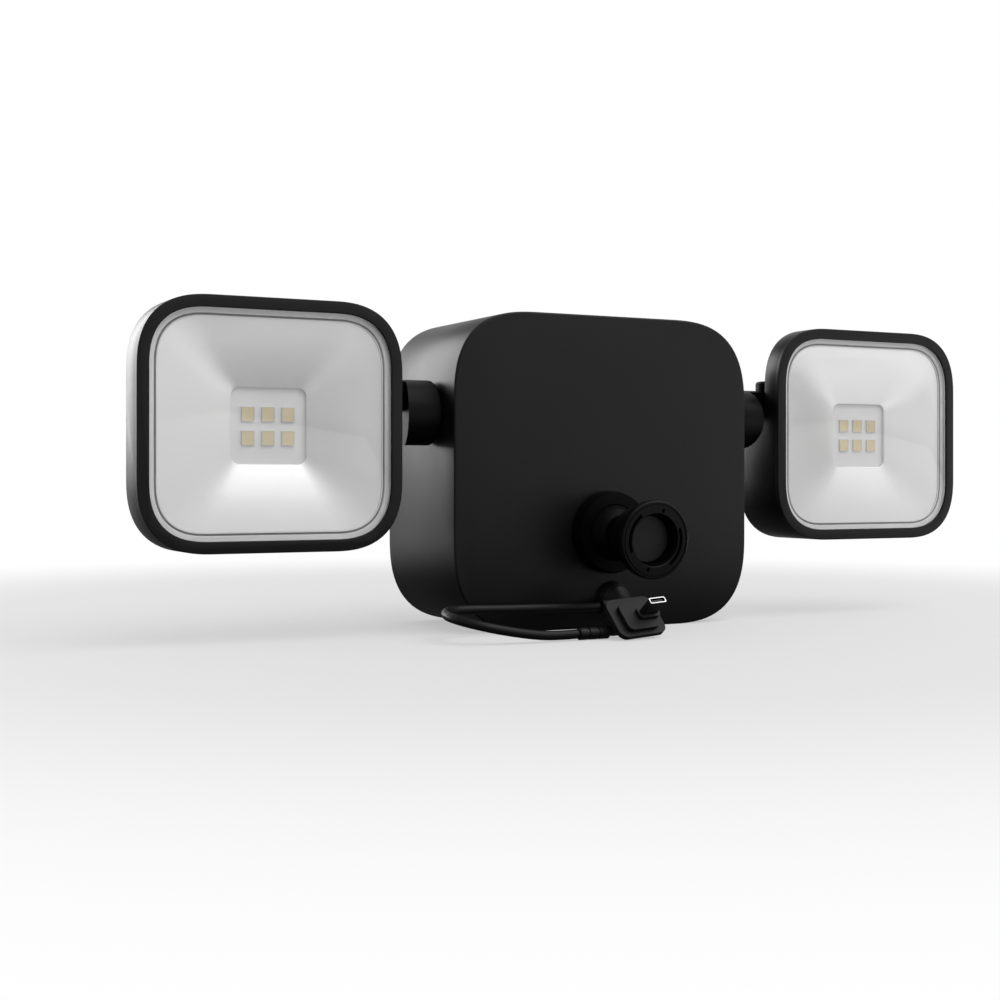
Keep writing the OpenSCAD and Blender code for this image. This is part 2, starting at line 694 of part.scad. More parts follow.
wall_bracket();
rear_cover();
cover_seal();
cover_screws();
front_housing();
battery_tray();
battery_cells();
battery_contacts();
main_board();
board_components();
board_screws();
mount_base();
mount_nut();
friction_cup();
ball_stub();
stub_collar();
bayonet_ring();
centre_cap();
lead_boot();
lead_cord();
lead_relief();
plug_body();
plug_seal();
plug_tip();
plug_tongue();
left() arm();  // left_arm
left() arm_washer();  // left_arm_washer
left() arm_clip();  // left_arm_clip
left() pivot_pin();  // left_pivot_pin
arm();  // right_arm
arm_washer();  // right_arm_washer
arm_clip();  // right_arm_clip
pivot_pin();  // right_pivot_pin
left() bezel();  // left_bezel
left() lens();  // left_lens
left() gasket();  // left_gasket
left() reflector();  // left_reflector
left() led_board();  // left_led_board
left() led_chips();  // left_led_chips
left() heat_sink();  // left_heat_sink
left() rear_shell();  // left_rear_shell
bezel();  // right_bezel
lens();  // right_lens
gasket();  // right_gasket
reflector();  // right_reflector
led_board();  // right_led_board
led_chips();  // right_led_chips
heat_sink();  // right_heat_sink
rear_shell();  // right_rear_shell
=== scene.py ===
# %% [markdown]
# # A twin-lamp battery floodlight with a mount for a security camera
# The moulded body hangs on a wall bracket. A lamp head swivels at each side, and a ball joint in
# front carries a bayonet ring for a battery camera, which a short lead with a small plug feeds.
# Everything is in metres, with the wall at Y = 0 and the floor under the housing.

# %% Load the frame
import json
import math
import bpy
import bmesh
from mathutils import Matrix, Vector


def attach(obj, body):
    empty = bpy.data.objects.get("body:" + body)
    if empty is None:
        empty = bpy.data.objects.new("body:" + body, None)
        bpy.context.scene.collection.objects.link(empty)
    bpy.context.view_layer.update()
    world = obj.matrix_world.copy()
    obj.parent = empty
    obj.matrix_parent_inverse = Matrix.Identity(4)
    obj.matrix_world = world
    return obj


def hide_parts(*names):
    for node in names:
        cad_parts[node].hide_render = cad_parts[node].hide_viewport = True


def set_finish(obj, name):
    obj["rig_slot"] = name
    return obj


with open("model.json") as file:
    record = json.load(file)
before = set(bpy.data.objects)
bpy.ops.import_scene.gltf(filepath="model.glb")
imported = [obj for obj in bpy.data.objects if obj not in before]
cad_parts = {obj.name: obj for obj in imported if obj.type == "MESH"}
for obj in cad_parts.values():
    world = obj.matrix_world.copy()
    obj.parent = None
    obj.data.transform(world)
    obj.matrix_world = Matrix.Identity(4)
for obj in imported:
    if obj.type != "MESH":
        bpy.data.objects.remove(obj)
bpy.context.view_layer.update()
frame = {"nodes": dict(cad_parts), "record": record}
MM = 0.001

# %% [markdown]
# ## The camera
# A camera's lens and place decide the perspective. The body is seen from the left and nearly level
# with its middle, so the camera stands low and close, and a small shift keeps the uprights upright.

# %% Place the camera
CAMERA_PLACE = (-0.3145, -0.5897, -0.0021)
CAMERA_TURN = -0.484
LENS_LENGTH = 55.3
CAMERA_SHIFT = (-0.0197, -0.023)
bpy.ops.object.camera_add(location=CAMERA_PLACE, rotation=(math.pi / 2, 0, CAMERA_TURN))
camera = bpy.context.object
camera.name = "camera"
camera.data.lens = LENS_LENGTH
camera.data.sensor_width = 36
camera.data.shift_x, camera.data.shift_y = CAMERA_SHIFT
bpy.context.scene.camera = camera
print("camera", camera.data.lens, "mm lens")

# %% [markdown]
# ## The lead
# A low-voltage lead of 3.5 mm with a soft jacket. It goes out of its boot, along the foot of the housing,
# round in one wide bend, and back over the floor to its plug. A few listed points give that route, and a
# formula that passes smoothly through them all fills in the rest.

# %% Plan the lead's route
FLOOR = -61.9 * MM
ROUTE_STEPS = 6
ROUTE = [
    (-7, -72.7, -52.7), (-15, -72.8, -52.7), (-28, -72.9, -52.5), (-42, -73, -52.2),
    (-54, -73.1, -51.9), (-65, -73.5, -51.6), (-72.1, -75.4, -51.6), (-77.3, -80.6, -51.9),
    (-79.2, -87.7, -52.6), (-77.3, -94.8, -53.7), (-72.1, -100, -55.2), (-65, -102, -56.8),
    (-56, -102.5, -58.4), (-48, -102.5, -59.4), (-41, -102.4, -59.6), (-34, -102.4, -59.5),
]


def route_point(a, b, c, d, t):
    """A point between b and c on a smooth curve through all four."""
    squared = (2 * a - 5 * b + 4 * c - d) * t * t
    cubed = (3 * b - a - 3 * c + d) * t ** 3
    return 0.5 * (2 * b + (c - a) * t + squared + cubed)


route = [Vector(p) * MM for p in ROUTE]
longer = [2 * route[0] - route[1]] + route + [2 * route[-1] - route[-2]]
line = []
for i in range(len(route) - 1):
    line += [route_point(*longer[i:i + 4], k / ROUTE_STEPS) for k in range(ROUTE_STEPS)]
line.append(route[-1])

# %% [markdown]
# ## The lead itself
# A mesh could be swept along the route, but a curve with a round bevel is simplest: it keeps the same
# thickness in every bend, and its caps close the ends. Made a mesh, it is merged into one skin.

# %% Make the lead
LEAD_R = 1.75 * MM
MERGE = 1e-6
lead_curve = bpy.data.curves.new("lead", "CURVE")
lead_curve.dimensions = "3D"
lead_curve.bevel_depth = LEAD_R
lead_curve.bevel_resolution = 8
lead_curve.use_fill_caps = True
spline = lead_curve.splines.new("POLY")
spline.points.add(len(line) - 1)
for point, place in zip(spline.points, line):
    point.co = (*place, 1)
spline.use_smooth = True
lead = bpy.data.objects.new("lead", lead_curve)
bpy.context.scene.collection.objects.link(lead)
bpy.ops.object.select_all(action="DESELECT")
lead.select_set(True)
bpy.context.view_layer.objects.active = lead
bpy.ops.object.convert(target="MESH")
bpy.ops.object.mode_set(mode="EDIT")
bpy.ops.mesh.select_all(action="SELECT")
bpy.ops.mesh.remove_doubles(threshold=MERGE)
bpy.ops.object.mode_set(mode="OBJECT")
print("lead", len(lead.data.polygons), "faces")

# %% [markdown]
# ## Tools for modelling by hand
# Blender's operators act on whatever is selected. These short helpers start from nothing selected,
# open a piece in edit mode, and pick faces or edges by where they are, as a hand would click them.


# %% Helpers for selecting and cutting
NEAR = 1e-5


def only(piece):
    """Nothing is selected but this piece, and it is the active one."""
    bpy.ops.object.select_all(action="DESELECT")
    piece.select_set(True)
    bpy.context.view_layer.objects.active = piece


def settle(name):
    """Names the piece just added, and puts its place and size into its mesh."""
    piece = bpy.context.object
    piece.name = piece.data.name = name
    only(piece)
    bpy.ops.object.transform_apply(location=True, rotation=True, scale=True)
    return piece


def pick(piece, kind, test):
    """Opens edit mode with only the faces or edges that pass the test selected."""
    only(piece)
    bpy.ops.object.mode_set(mode="EDIT")
    bpy.ops.mesh.select_mode(type=kind)
    bpy.ops.mesh.select_all(action="DESELECT")
    bm = bmesh.from_edit_mesh(piece.data)
    bm.normal_update()
    for part in bm.faces if kind == "FACE" else bm.edges:
        if test(part):
            part.select_set(True)
    bmesh.update_edit_mesh(piece.data)


def close():
    """Goes back from edit mode to object mode."""
    bpy.ops.object.mode_set(mode="OBJECT")


def finish_with(piece, kind, **settings):
    """Adds a modifier, sets it and applies it."""
    only(piece)
    modifier = piece.modifiers.new(kind.lower(), kind)
    for key, value in settings.items():
        setattr(modifier, key, value)
    bpy.ops.object.modifier_apply(modifier=modifier.name)


def smooth(piece, degrees=30):
    """Shades smoothly over every edge that is blunter than this."""
    only(piece)
    bpy.ops.object.shade_smooth_by_angle(angle=math.radians(degrees))


def cut_with(piece, tool, operation="DIFFERENCE"):
    """Takes the tool away from the piece, or joins it on, and removes the tool."""
    finish_with(piece, "BOOLEAN", operation=operation, object=tool, solver="EXACT")
    bpy.data.objects.remove(tool)


print("helpers ready")

# %% [markdown]
# ## The rounded box and the rod
# The housing and the heads share one outline: a rectangle whose corners are superellipse curves, a
# little squarer than a circle. A cube's four long edges are bevelled, and the bevel's profile sets
# that squareness, so no outline has to be drawn. Every bore and boss is a plain rod between two points.


# %% Rounded box and rod
def rounded_box(name, centre, size, reach, power, steps=24):
    """A box along Y with curved corners. centre and size are in millimetres."""
    bpy.ops.object.select_all(action="DESELECT")
    bpy.ops.mesh.primitive_cube_add(size=1, location=[c * MM for c in centre], scale=[s * MM for s in size])
    piece = settle(name)
    pick(piece, "EDGE", lambda e: abs((e.verts[0].co - e.verts[1].co).y) > NEAR)
    bpy.ops.mesh.bevel(offset=reach * MM, segments=steps, profile=2 ** (-2 / power), affect="EDGES")
    close()
    return piece


def rod(name, start, end, radius, vertices=48):
    """A plain rod from start to end, in millimetres."""
    a, b = Vector(start) * MM, Vector(end) * MM
    bpy.ops.object.select_all(action="DESELECT")
    bpy.ops.mesh.primitive_cylinder_add(
        radius=radius * MM, depth=(b - a).length, vertices=vertices, location=(a + b) / 2,
        rotation=(b - a).to_track_quat("Z", "Y").to_euler())
    return settle(name)


def facing(face, axis, sign):
    """Whether a face looks along an axis, with the sign given."""
    return face.normal[axis] * sign > 0.99


print("shapes ready")

# %% [markdown]
# ## The housing
# One moulding: a deep rounded box, open at the back, with walls of 2.8 mm. The front edge is crisp in
# the real one, so its bevel is under a millimetre. Insetting the open back and pushing it in
# makes the walls, as a moulder's core would.

# %% Model the housing
BODY = (134, 63.2, 123.8)
BODY_CORNER, BODY_SQUARENESS = 36.3, 2.74
FRONT, REAR = -66.2, -3
WALL = 2.8
FRONT_EASE, REAR_EASE = 0.8, 0.5
middle = (FRONT + REAR) / 2
housing = rounded_box("housing_shell", (0, middle, 0), BODY, BODY_CORNER, BODY_SQUARENESS)
pick(housing, "EDGE", lambda e: all(v.co.y < (FRONT + 0.1) * MM for v in e.verts))
bpy.ops.mesh.bevel(offset=FRONT_EASE * MM, segments=4, profile=0.5, affect="EDGES")
close()
pick(housing, "FACE", lambda f: facing(f, 1, 1))
bpy.ops.mesh.inset(thickness=WALL * MM, use_even_offset=True)
bpy.ops.mesh.extrude_region_move(TRANSFORM_OT_translate={"value": (0, (FRONT + WALL - REAR) * MM, 0)})
close()
pick(housing, "EDGE", lambda e: all(v.co.y > (REAR - 0.1) * MM for v in e.verts))
bpy.ops.mesh.bevel(offset=REAR_EASE * MM, segments=2, profile=0.5, affect="EDGES")
close()
print("tub", len(housing.data.polygons), "faces")

# %% [markdown]
# ## The housing's holes
# Both arms' barrels, the ball mount and the lead's boot sit in holes in the wall. They could be cut
# as outlines, but taking a rod away leaves clean round walls, and one long rod drills both sides in
# line. The hole is a little wider than the part in it, so that the two never share a surface.

# %% Drill the housing
ARM_Y, ARM_Z = -46, 22.7
MOUNT_Z = -23.9
BOOT_X, BOOT_Z = 2.2, -50.5
OUTSIDE, INSIDE = -70, -60
ARM_HOLE_R, MOUNT_HOLE_R, BOOT_HOLE_R = 6.05, 15.3, 3
cut_with(housing, rod("arm_bore", (-80, ARM_Y, ARM_Z), (80, ARM_Y, ARM_Z), ARM_HOLE_R, 64))
cut_with(housing, rod("mount_bore", (0, OUTSIDE, MOUNT_Z), (0, INSIDE, MOUNT_Z), MOUNT_HOLE_R, 96))
cut_with(housing, rod("lead_bore", (BOOT_X, OUTSIDE, BOOT_Z), (BOOT_X, INSIDE, BOOT_Z), BOOT_HOLE_R))
smooth(housing)
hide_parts("front_housing")
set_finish(housing, "housing_plastic")
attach(housing, "housing")
print("housing", len(housing.data.polygons), "faces")

# %% [markdown]
# ## A lamp head's sizes, and a saw
# Bezel, lens, seat, reflector and shell all follow one outline, each set in from it by its own
# amount, so one function makes the box for them all. The saw is Blender's bisect: it keeps one side
# of a plane and closes the cut, which suits a moulded back of flat and gently bent faces.

# %% Outline, saw and block
HEAD = Vector((136.2, 0, 16.4))
HEAD_W, HEAD_H = 99, 91.4
HEAD_CORNER, HEAD_SQUARENESS = 27, 2.55
CORNER_SHRINK = 1.2
BEZEL_Y = FRONT + 3.5
THIN_Y, RIM_Y, BULGE_Y = BEZEL_Y + 9.5, BEZEL_Y + 15.5, BEZEL_Y + 28
IN_X, OUT_X = HEAD.x - HEAD_W / 2, HEAD.x + HEAD_W / 2


def head_box(name, front, back, inset, steps=24):
    """A slice of the head between two depths, set in from its outline."""
    centre = (HEAD.x, (front + back) / 2, HEAD.z)
    size = (HEAD_W - 2 * inset, back - front, HEAD_H - 2 * inset)
    return rounded_box(name, centre, size, HEAD_CORNER - CORNER_SHRINK * inset, HEAD_SQUARENESS, steps)


SAW_CLOSE = 1e-7


def saw(piece, point, outward):
    """Cuts the piece at a plane and closes the cut. outward points to the side that goes."""
    only(piece)
    bpy.ops.object.mode_set(mode="EDIT")
    bpy.ops.mesh.select_all(action="SELECT")
    bpy.ops.mesh.bisect(plane_co=Vector(point) * MM, plane_no=Vector(outward).normalized(),
                        use_fill=True, clear_outer=True, threshold=SAW_CLOSE)
    close()


def block(name, low, high):
    """A plain block between two corners, in millimetres."""
    bpy.ops.object.select_all(action="DESELECT")
    low, high = Vector(low) * MM, Vector(high) * MM
    bpy.ops.mesh.primitive_cube_add(size=1, location=(low + high) / 2, scale=high - low)
    return settle(name)


print("head from", IN_X, "to", OUT_X, "mm")

# %% [markdown]
# ## A lamp head's rear shell
# Behind the lens the head is thin at the top, where the arm passes, and swells into a bulge below.
# A deep rounded box has all that isn't head taken away: one block is the space behind the thin part,
# and it first loses a second block, sawn to the bulge. Both reach well past the head, so that only
# their sawn sides shape it. The same form, a little smaller, hollows the shell.


# %% Cut the head's form
BULGE_TOP, BULGE_ROUND = 23, -8
BULGE_LEAD, BULGE_FLAT = 1.3, 35
BEND_STEP = 6


def head_form(name, front, inset, thin_wall, bulge_wall):
    """A deep rounded box, less all that lies behind its thin upper part and outside its bulge."""
    form = head_box(name, front, BULGE_Y - bulge_wall, inset)
    behind = block("behind", (IN_X - 9, THIN_Y - 9, -60), (OUT_X + 9, BULGE_Y + 9, 90))
    slope = Vector((OUT_X - IN_X, RIM_Y - THIN_Y, 0))
    saw(behind, (IN_X, THIN_Y - thin_wall, 0), (slope.y, -slope.x, 0))
    bulge = block("bulge", (IN_X - 19, THIN_Y - 29, -80), (OUT_X + 19, BULGE_Y + 19, 99))
    slope = Vector((OUT_X - IN_X - BULGE_FLAT, RIM_Y - BULGE_Y, 0))
    saw(bulge, (OUT_X, RIM_Y - bulge_wall, 0), (-slope.y, slope.x, 0))
    deep = BULGE_Y - THIN_Y + BULGE_LEAD - bulge_wall
    tall = BULGE_TOP - BULGE_ROUND - bulge_wall
    turns = [math.radians(a) for a in range(0, 91, BEND_STEP)]
    curve = [(THIN_Y - BULGE_LEAD + deep * math.cos(a), BULGE_ROUND + tall * math.sin(a)) for a in turns]
    for (y0, z0), (y1, z1) in zip(curve, curve[1:]):
        saw(bulge, (HEAD.x, y0, z0), (0, z1 - z0, y0 - y1))
    cut_with(behind, bulge)
    cut_with(form, behind)
    return form


print("form ready")

# %% [markdown]
# ## The shell's knuckle
# The head pans on an upright pin, which passes through a round knuckle at the shell's inner side.
# The knuckle is joined on, the pin's bore drilled through it, and one bevel eases every sharp edge,
# because a moulded edge always catches a thin line of light.

# %% Model the rear shell
SIDE_WALL, THIN_WALL, BULGE_WALL = 2.4, 1.1, 2
PIN_X = 95
KNUCKLE_R, PIN_HOLE_R = 5.5, 2.55
SHELL_EASE = 0.5
SHARP = math.radians(42)
shell = head_form("right_shell", BEZEL_Y + 2, 0, 0, 0)
cut_with(shell, head_form("hollow", BEZEL_Y + 1, SIDE_WALL, THIN_WALL, BULGE_WALL))
cut_with(shell, rod("knuckle", (PIN_X, ARM_Y, 5), (PIN_X, ARM_Y, BULGE_TOP), KNUCKLE_R), "UNION")
cut_with(shell, rod("pin_bore", (PIN_X, ARM_Y, 3), (PIN_X, ARM_Y, 33), PIN_HOLE_R))
finish_with(shell, "BEVEL", width=SHELL_EASE * MM, segments=3, limit_method="ANGLE", angle_limit=SHARP)
smooth(shell)
print("rear shell", len(shell.data.polygons), "faces")

# %% [markdown]
# ## Bezel, lens and lens seat
# The bezel is a flat black ring with a crisp, slightly eased edge. Inside it sits the glass, and behind the
# glass a pale seat with a thin lip and a groove painted a darker grey, a painted shade for the shadow that
# falls into it: two fine lines round the reflector.

# %% Model the bezel, the lens and its seat
BEZEL_W, SKIRT_IN = 4.4, 2.5
BEZEL_EASE, LENS_EASE, SEAT_EASE = 0.35, 0.4, 0.15
EDGE_TURN = 0.9


def ease(piece, y, width, segments=3):
    """Rounds the sharp edges that lie in the plane at y."""
    pick(piece, "EDGE", lambda e: all(abs(v.co.y - y * MM) < NEAR for v in e.verts)
         and len(e.link_faces) == 2 and e.calc_face_angle() > EDGE_TURN)
    bpy.ops.mesh.bevel(offset=width * MM, segments=segments, profile=0.5, affect="EDGES")
    close()
    smooth(piece)


bezel = head_box("right_rim", BEZEL_Y, BEZEL_Y + 2, 0)
cut_with(bezel, head_box("skirt", BEZEL_Y + 1, BEZEL_Y + 2.8, SKIRT_IN), "UNION")
cut_with(bezel, head_box("opening", BEZEL_Y - 1, BEZEL_Y + 4, BEZEL_W))
ease(bezel, BEZEL_Y, BEZEL_EASE)

LENS_Y, LENS_BACK = BEZEL_Y + 0.5, BEZEL_Y + 2.8
GAP = 0.05
lens = head_box("right_glass", LENS_Y, LENS_BACK, BEZEL_W + GAP)
ease(lens, LENS_Y, LENS_EASE)

SEAT_FRONT, SEAT_BACK = LENS_BACK + 0.02, LENS_BACK + 0.6
GROOVE_Y = LENS_BACK + 0.45
GROOVE_IN, LIP_IN, OPENING_IN = BEZEL_W + 2.1, BEZEL_W + 2.85, BEZEL_W + 3.3
seat = head_box("right_seat", SEAT_FRONT, SEAT_BACK, BEZEL_W + GAP)
cut_with(seat, head_box("groove", LENS_BACK - 1, GROOVE_Y, GROOVE_IN))
cut_with(seat, head_box("lip", LENS_BACK + 0.1, SEAT_BACK, LIP_IN), "UNION")
cut_with(seat, head_box("opening", LENS_BACK - 1, SEAT_BACK + 1, OPENING_IN))
ease(seat, SEAT_FRONT, SEAT_EASE, 2)
print("bezel", len(bezel.data.polygons), "faces")

# %% [markdown]
# ## The reflector
# A pressed tray with four sloping sides, polished to a satin silver. Its front outline has the
# head's curve and its floor is nearly square, so the corners are soft folds. Bridging the two
# outlines, which have the same number of points, makes just that surface. Here are the outer wall
# with its front rim, and the small square recess that the chips' board lies in, both left open.

# %% Model the reflector's rim and recess
REFLECTOR_Y, REFLECTOR_BACK = SEAT_BACK, BEZEL_Y + 8.6
RIM_W = 3.1
RECESS_W, RECESS_H, RECESS_DEEP = 28.4, 27.4, 1.2
RECESS_CORNER, ROUND = 3.2, 2
tray = head_box("right_reflector_tray", REFLECTOR_Y, REFLECTOR_BACK, BEZEL_W + 0.3, 12)
pick(tray, "FACE", lambda f: facing(f, 1, -1))
bpy.ops.mesh.inset(thickness=RIM_W * MM, use_even_offset=True)
bpy.ops.mesh.delete(type="FACE")
close()
pick(tray, "FACE", lambda f: facing(f, 1, 1))
bpy.ops.mesh.delete(type="FACE")
close()
recess_centre = (HEAD.x, REFLECTOR_BACK - RECESS_DEEP / 2, HEAD.z)
recess = rounded_box("recess", recess_centre, (RECESS_W, RECESS_DEEP, RECESS_H), RECESS_CORNER, ROUND, 12)
pick(recess, "FACE", lambda f: abs(f.normal.y) > 0.99)
bpy.ops.mesh.delete(type="FACE")
bpy.ops.mesh.select_all(action="SELECT")
bpy.ops.mesh.flip_normals()
close()
only(tray)
recess.select_set(True)
bpy.ops.object.join()
print("rim and recess", len(tray.data.polygons), "faces")

# %% [markdown]
# ## The reflector's slopes
# Bridging the rim's inner edge with the recess's front edge gives the four slopes, and bridging the
# two back edges closes the tray, so it is one solid. The folds are then eased, because pressed metal
# can't hold a sharp one, and each fold's narrow curve is what carries the bright line.

# %% Bridge the reflector's slopes
RECESS_EASE, FOLD_EASE = 0.3, 0.45
FOLD_LEAST = 0.02
for front in (True, False):
    split = (REFLECTOR_BACK - 0.3) * MM
    pick(tray, "EDGE", lambda e: e.is_boundary and (e.verts[0].co.y < split) == front)
    bpy.ops.mesh.bridge_edge_loops()
    close()
only(tray)
bpy.ops.object.mode_set(mode="EDIT")
bpy.ops.mesh.select_all(action="SELECT")
bpy.ops.mesh.normals_make_consistent(inside=False)
close()
ease(tray, REFLECTOR_BACK - RECESS_DEEP, RECESS_EASE)
pick(tray, "EDGE", lambda e: all(abs(v.co.y - REFLECTOR_Y * MM) < NEAR for v in e.verts)
     and FOLD_LEAST < abs(e.calc_face_angle()) < EDGE_TURN)
bpy.ops.mesh.bevel(offset=FOLD_EASE * MM, segments=3, profile=0.5, affect="EDGES")
close()
smooth(tray, 40)
print("reflector", len(tray.data.polygons), "faces")

# %% [markdown]
# ## The lamp's chips
# Six surface-mounted LEDs: a white ceramic body with a yellow phosphor face let into it. One is
# modelled from a cube by insetting its face and pushing it in, then copied to its five neighbours.

# %% Model the chips
CHIP = (4.7, 0.7, 5.2)
CHIP_Y = BEZEL_Y + 8
CHIP_RIM, CHIP_DEEP = 0.16, 0.12
CHIP_PITCH_X, CHIP_PITCH_Z = 7.5, 8.5
bpy.ops.object.select_all(action="DESELECT")
chip_centre = (HEAD.x, CHIP_Y + CHIP[1] / 2, HEAD.z)
bpy.ops.mesh.primitive_cube_add(size=1, location=[c * MM for c in chip_centre], scale=[c * MM for c in CHIP])
chip = settle("right_chip")
pick(chip, "FACE", lambda f: facing(f, 1, -1))
bpy.ops.mesh.inset(thickness=CHIP_RIM * MM)
bpy.ops.mesh.extrude_region_move(TRANSFORM_OT_translate={"value": (0, CHIP_DEEP * MM, 0)})
close()
chips = []
for column in (-1, 0, 1):
    for row in (-0.5, 0.5):
        only(chip)
        bpy.ops.object.duplicate(linked=False)
        bpy.ops.transform.translate(value=(column * CHIP_PITCH_X * MM, 0, row * CHIP_PITCH_Z * MM))
        bpy.ops.object.transform_apply(location=True, rotation=False, scale=False)
        chips.append(bpy.context.object)
bpy.data.objects.remove(chip)
only(chips[0])
for other in chips[1:]:
    other.select_set(True)
bpy.ops.object.join()
chips = bpy.context.object
chips.name = chips.data.name = "right_lamp_chips"
print("chips", len(chips.data.polygons), "faces")

# %% [markdown]
# ## Two heads from one
# The right head's pieces are mirrored for the left. A scale of -1 would do it too, but it turns a mesh
# inside out, so each twin gets its own mirrored points and its faces flipped back. Each piece rides
# on the head that carries it and stands for the solid of the same part.


# %% Fit the heads
def mirrored(piece, name):
    """The left-hand twin of a right-hand piece, with a mesh of its own."""
    only(piece)
    bpy.ops.object.duplicate(linked=False)
    twin = bpy.context.object
    twin.name = twin.data.name = name
    for vertex in twin.data.vertices:
        vertex.co.x = -vertex.co.x
    twin.data.flip_normals()
    return twin


HEAD_PIECES = [
    (shell, "rear_shell", "housing_plastic"),
    (bezel, "bezel", "bezel_plastic"),
    (lens, "lens", "lens_glass"),
    (seat, "gasket", "gasket_clear"),
    (tray, "reflector", "reflector_satin"),
    (chips, "led_chips", "led_phosphor"),
]
pieces = {}
for piece, node, slot in HEAD_PIECES:
    for side in ("right", "left"):
        made = piece if side == "right" else mirrored(piece, piece.name.replace("right", "left"))
        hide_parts(f"{side}_{node}")
        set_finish(made, slot)
        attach(made, f"{side}_head")
        pieces[f"{side}_{node}"] = made
print(len(pieces), "head pieces")

# %% [markdown]
# ## Plug end of the lead
# A rubber sleeve keeps the lead from kinking where it enters the plug. It has three ribs with grooves
# between them. A cylinder is sawn across on both sides of each groove, the short band between the
# cuts is shrunk about the lead's own line, and a bevel softens the ribs.

# %% Model the lead's sleeve
SLEEVE_START, SLEEVE_END = Vector((-34, -102.4, -59.5)), Vector((-21.6, -102.4, -59.5))
SLEEVE_R = 2.28
GROOVES = (3.7, 7.8)
GROOVE_CUTS = (-0.45, -0.2, 0.2, 0.45)
GROOVE_SHRINK = 0.82
SLEEVE_EASE = 0.35
relief = rod("lead_sleeve", SLEEVE_START, SLEEVE_END, SLEEVE_R, 40)
for groove in GROOVES:
    for cut in GROOVE_CUTS:
        only(relief)
        bpy.ops.object.mode_set(mode="EDIT")
        bpy.ops.mesh.select_all(action="SELECT")
        cut_x = (SLEEVE_START.x + groove + cut) * MM
        bpy.ops.mesh.bisect(plane_co=(cut_x, 0, 0), plane_no=(1, 0, 0), threshold=SAW_CLOSE)
        close()
    middle = (SLEEVE_START.x + groove) * MM
    pick(relief, "EDGE", lambda e: all(abs(v.co.x - middle) < 0.25 * MM for v in e.verts))
    bpy.ops.transform.resize(value=(1, GROOVE_SHRINK, GROOVE_SHRINK), center_override=SLEEVE_START * MM)
    close()
ends = (SLEEVE_START.x * MM, SLEEVE_END.x * MM)
pick(relief, "EDGE", lambda e: any(all(abs(v.co.x - x) < MERGE for v in e.verts) for x in ends))
bpy.ops.mesh.bevel(offset=SLEEVE_EASE * MM, segments=3, profile=0.5, affect="EDGES")
close()
smooth(relief, 50)
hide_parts("lead_relief")
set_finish(relief, "lead_rubber")
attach(relief, "housing")
print("sleeve", len(relief.data.polygons), "faces")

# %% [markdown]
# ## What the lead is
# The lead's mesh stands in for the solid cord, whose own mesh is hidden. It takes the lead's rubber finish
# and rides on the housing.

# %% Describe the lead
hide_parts("lead_cord")
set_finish(lead, "lead_rubber")
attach(lead, "housing")
nodes = frame["nodes"]

# %% [markdown]
# ## Shared surface effects
# Moulded plastic, rubber and satin metal all have a fine grain that a bump gives, and a slow change
# in gloss from handling. Both are shader node groups, built once, so that each finish places them
# with its own values. Three helpers make a group, add a node to it, and turn one stretch of values
# into another.


# %% Helpers for shader nodes
def new_group(name, inputs, outputs):
    """A node group with named inputs, each with its usual value, and named outputs."""
    tree = bpy.data.node_groups.new(name, "ShaderNodeTree")
    for socket, value in inputs.items():
        kind = "NodeSocketFloat" if isinstance(value, (int, float)) else "NodeSocketColor"
        made = tree.interface.new_socket(name=socket, in_out="INPUT", socket_type=kind)
        made.default_value = value
    for socket, kind in outputs.items():
        tree.interface.new_socket(name=socket, in_out="OUTPUT", socket_type=kind)
    return tree, tree.nodes.new("NodeGroupInput"), tree.nodes.new("NodeGroupOutput")


def node_in(tree, kind, links=(), **values):
    """Adds a node, sets its named inputs and properties, and links what feeds it."""
    made = tree.nodes.new(kind)
    for key, value in values.items():
        name = key.replace("_", " ")
        if name in made.inputs:
            made.inputs[name].default_value = value
        else:
            setattr(made, key, value)
    for source, target in links:
        tree.links.new(source, made.inputs[target])
    return made


def ramp(tree, source, start, end, low=0.0, high=1.0, **values):
    """Turns the stretch from start to end into the one from low to high."""
    made = node_in(tree, "ShaderNodeMapRange", [(source, "Value")], **values)
    for socket, value in {"From Min": start, "From Max": end, "To Min": low, "To Max": high}.items():
        made.inputs[socket].default_value = value
    return made


print("node helpers ready")

# %% [markdown]
# ## Fine grain
# Spark-eroded steel moulds leave a grain of well under a millimetre on plastic. Noise drives a bump,
# and Stretch draws the same noise out along one axis, which is what brushed or rolled metal shows.

# %% Build the grain
GRAIN_HEIGHT = 0.0002
grain, g_in, g_out = new_group("fine_grain", {"Scale": 900.0, "Depth": 0.1, "Stretch": 1.0},
                               {"Normal": "NodeSocketVector"})
place = node_in(grain, "ShaderNodeTexCoord")
stretch = node_in(grain, "ShaderNodeCombineXYZ", [(g_in.outputs["Stretch"], "X")], Y=1.0, Z=1.0)
turned = node_in(grain, "ShaderNodeVectorMath", [(place.outputs["Object"], 0), (stretch.outputs[0], 1)],
                 operation="MULTIPLY")
speck = node_in(grain, "ShaderNodeTexNoise",
                [(turned.outputs[0], "Vector"), (g_in.outputs["Scale"], "Scale")],
                Detail=3.0, Roughness=0.6)
bump = node_in(grain, "ShaderNodeBump", [(speck.outputs[0], "Height"), (g_in.outputs["Depth"], "Strength")],
               Distance=GRAIN_HEIGHT)
grain.links.new(bump.outputs[0], g_out.inputs["Normal"])
print("group", grain.name)

# %% [markdown]
# ## Handling
# No real surface is equally glossy all over. A slow noise moves the roughness between a low and a
# high value, and darkens the colour a little in the same places.

